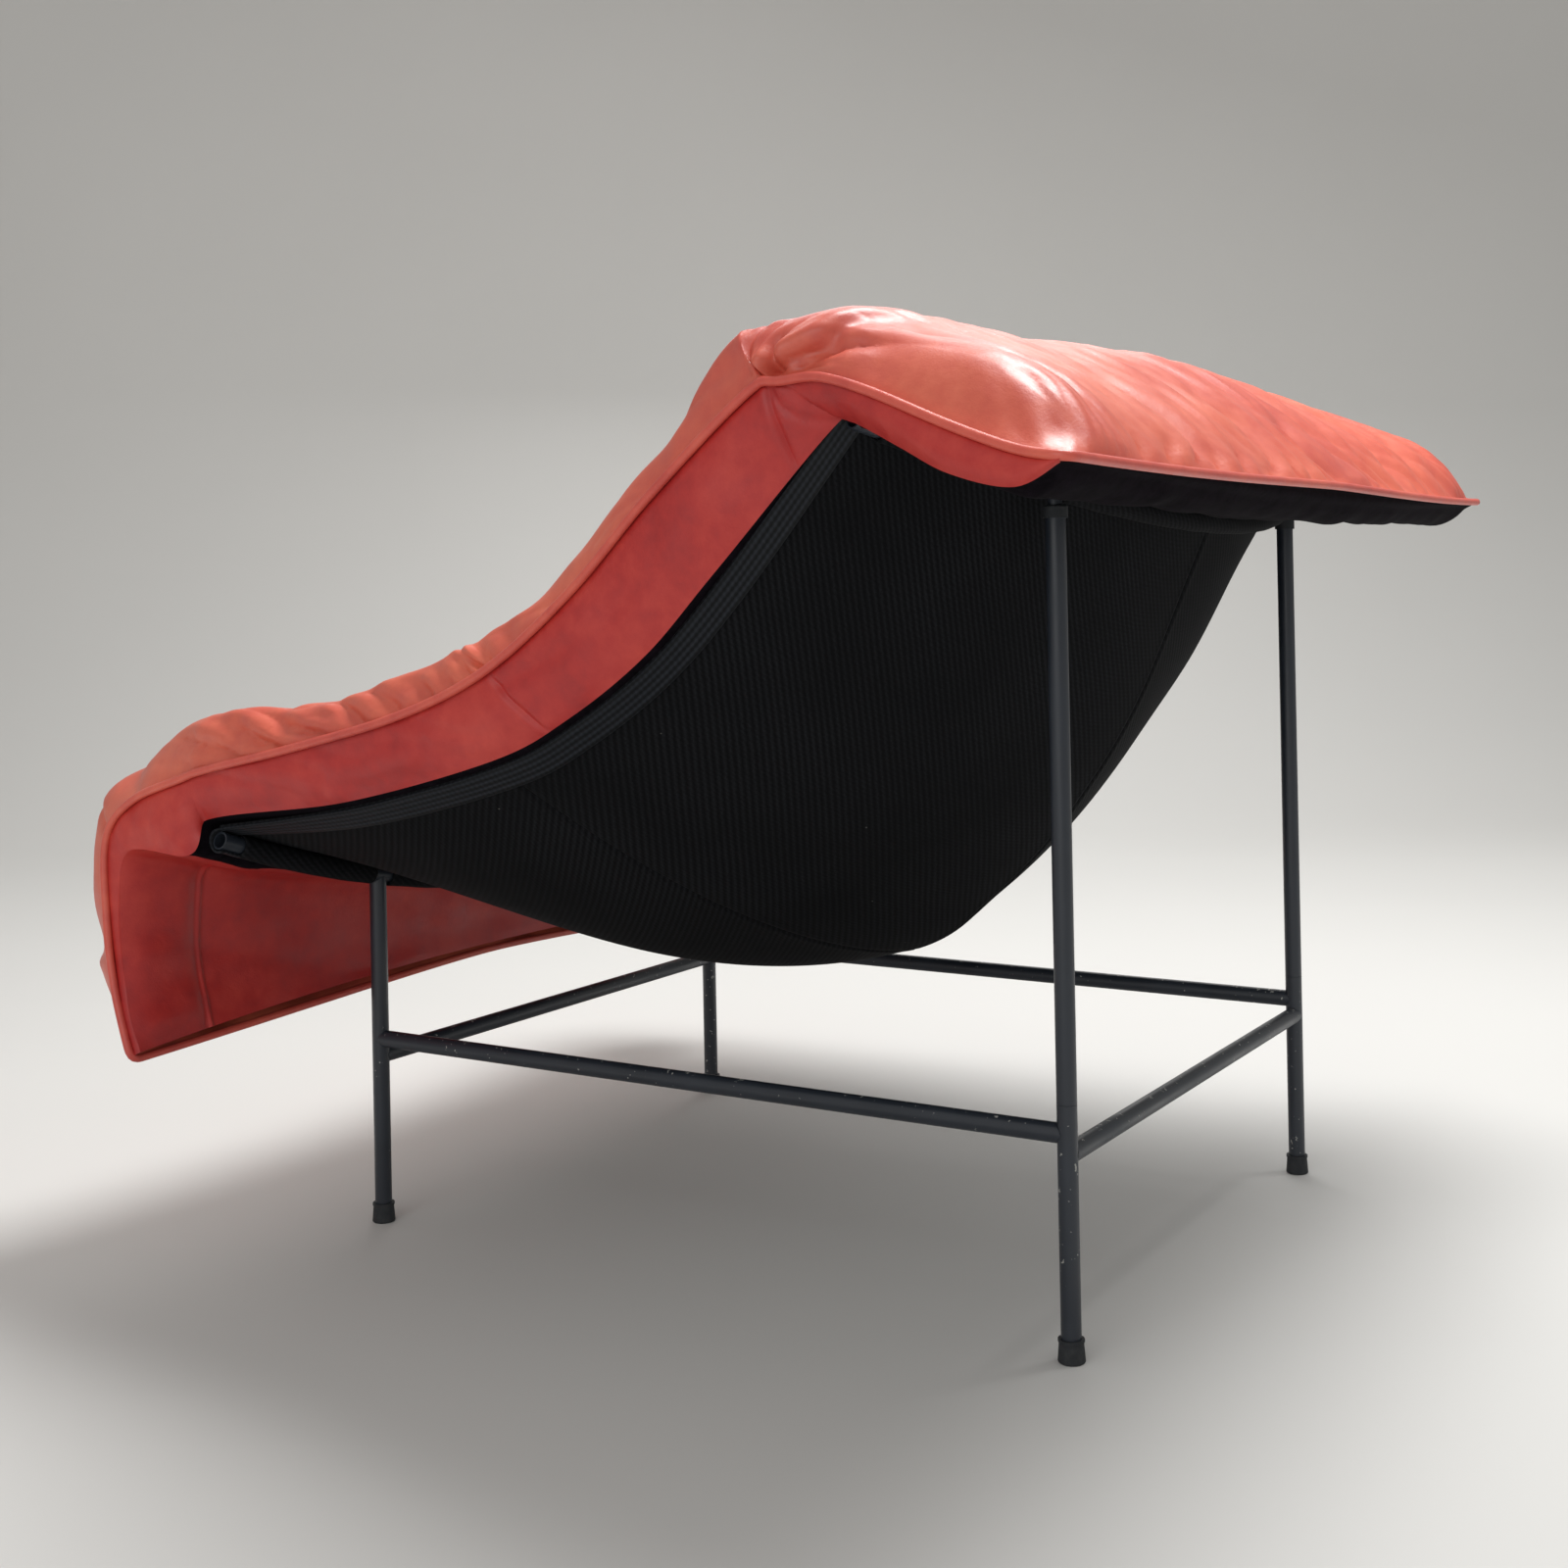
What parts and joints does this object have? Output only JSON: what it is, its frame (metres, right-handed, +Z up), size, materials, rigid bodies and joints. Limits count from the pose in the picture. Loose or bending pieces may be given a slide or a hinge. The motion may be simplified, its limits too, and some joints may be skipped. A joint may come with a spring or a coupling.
{
  "type": "sling lounge chair",
  "caption": "Low lounge chair: black steel tube base, tailored black canvas sling hung between two curved bars, and one thick red leather pad draped over it.",
  "frame": {"origin": "on the floor, under the middle of the chair's width and length", "axes": "+X to the sitter's left, -Y to the front, +Z up"},
  "size_m": [1.1032, 0.9974, 0.8011],
  "materials": {
    "painted_steel": "satin blue-black paint over steel tube",
    "bare_steel": "bare turned steel",
    "rubber": "matt black moulded rubber",
    "canvas": "heavy black cotton canvas",
    "webbing": "ribbed black webbing tape",
    "top_leather": "soft semi-aniline leather, salmon red, low sheen",
    "side_leather": "soft leather, deeper red, low sheen",
    "lining": "dark brushed cotton lining",
    "wadding": "pale wadding, hidden inside the pad"
  },
  "bodies": {
    "root": {"front_foot_left": "rubber", "rear_foot_left": "rubber", "front_leg_left": "painted_steel", "rear_leg_left": "painted_steel", "rear_post_left": "painted_steel", "post_spigot_left": "bare_steel", "side_rail_left": "painted_steel", "bar_stud_left": "painted_steel", "post_cap_left": "rubber", "front_foot_right": "rubber", "rear_foot_right": "rubber", "front_leg_right": "painted_steel", "rear_leg_right": "painted_steel", "rear_post_right": "painted_steel", "post_spigot_right": "bare_steel", "side_rail_right": "painted_steel", "bar_stud_right": "painted_steel", "post_cap_right": "rubber", "front_rail": "painted_steel", "rear_rail": "painted_steel", "front_bar": "painted_steel", "rear_bar": "painted_steel", "sling_front_hem": "canvas", "sling_rear_hem": "canvas", "sling_seat_panel": "canvas", "sling_back_panel_left": "canvas", "sling_back_panel_right": "canvas", "rim_webbing_left": "webbing", "rim_webbing_right": "webbing", "front_flap_top_leather": "top_leather", "front_flap_filling": "wadding", "seat_top_leather": "top_leather", "seat_filling": "wadding", "back_top_leather": "top_leather", "back_filling": "wadding", "head_top_leather": "top_leather", "head_filling": "wadding", "seat_facing_left": "side_leather", "back_facing_left": "side_leather", "head_facing_left": "side_leather", "seat_facing_right": "side_leather", "back_facing_right": "side_leather", "head_facing_right": "side_leather", "seat_and_back_lining": "lining", "head_lining": "lining", "flap_inner_panel": "side_leather", "flap_inner_strip_left": "side_leather", "flap_inner_strip_right": "side_leather", "piping_left": "side_leather", "piping_right": "side_leather", "piping_flap_bottom": "side_leather", "piping_rear_edge": "side_leather"}
  },
  "joints": []
}
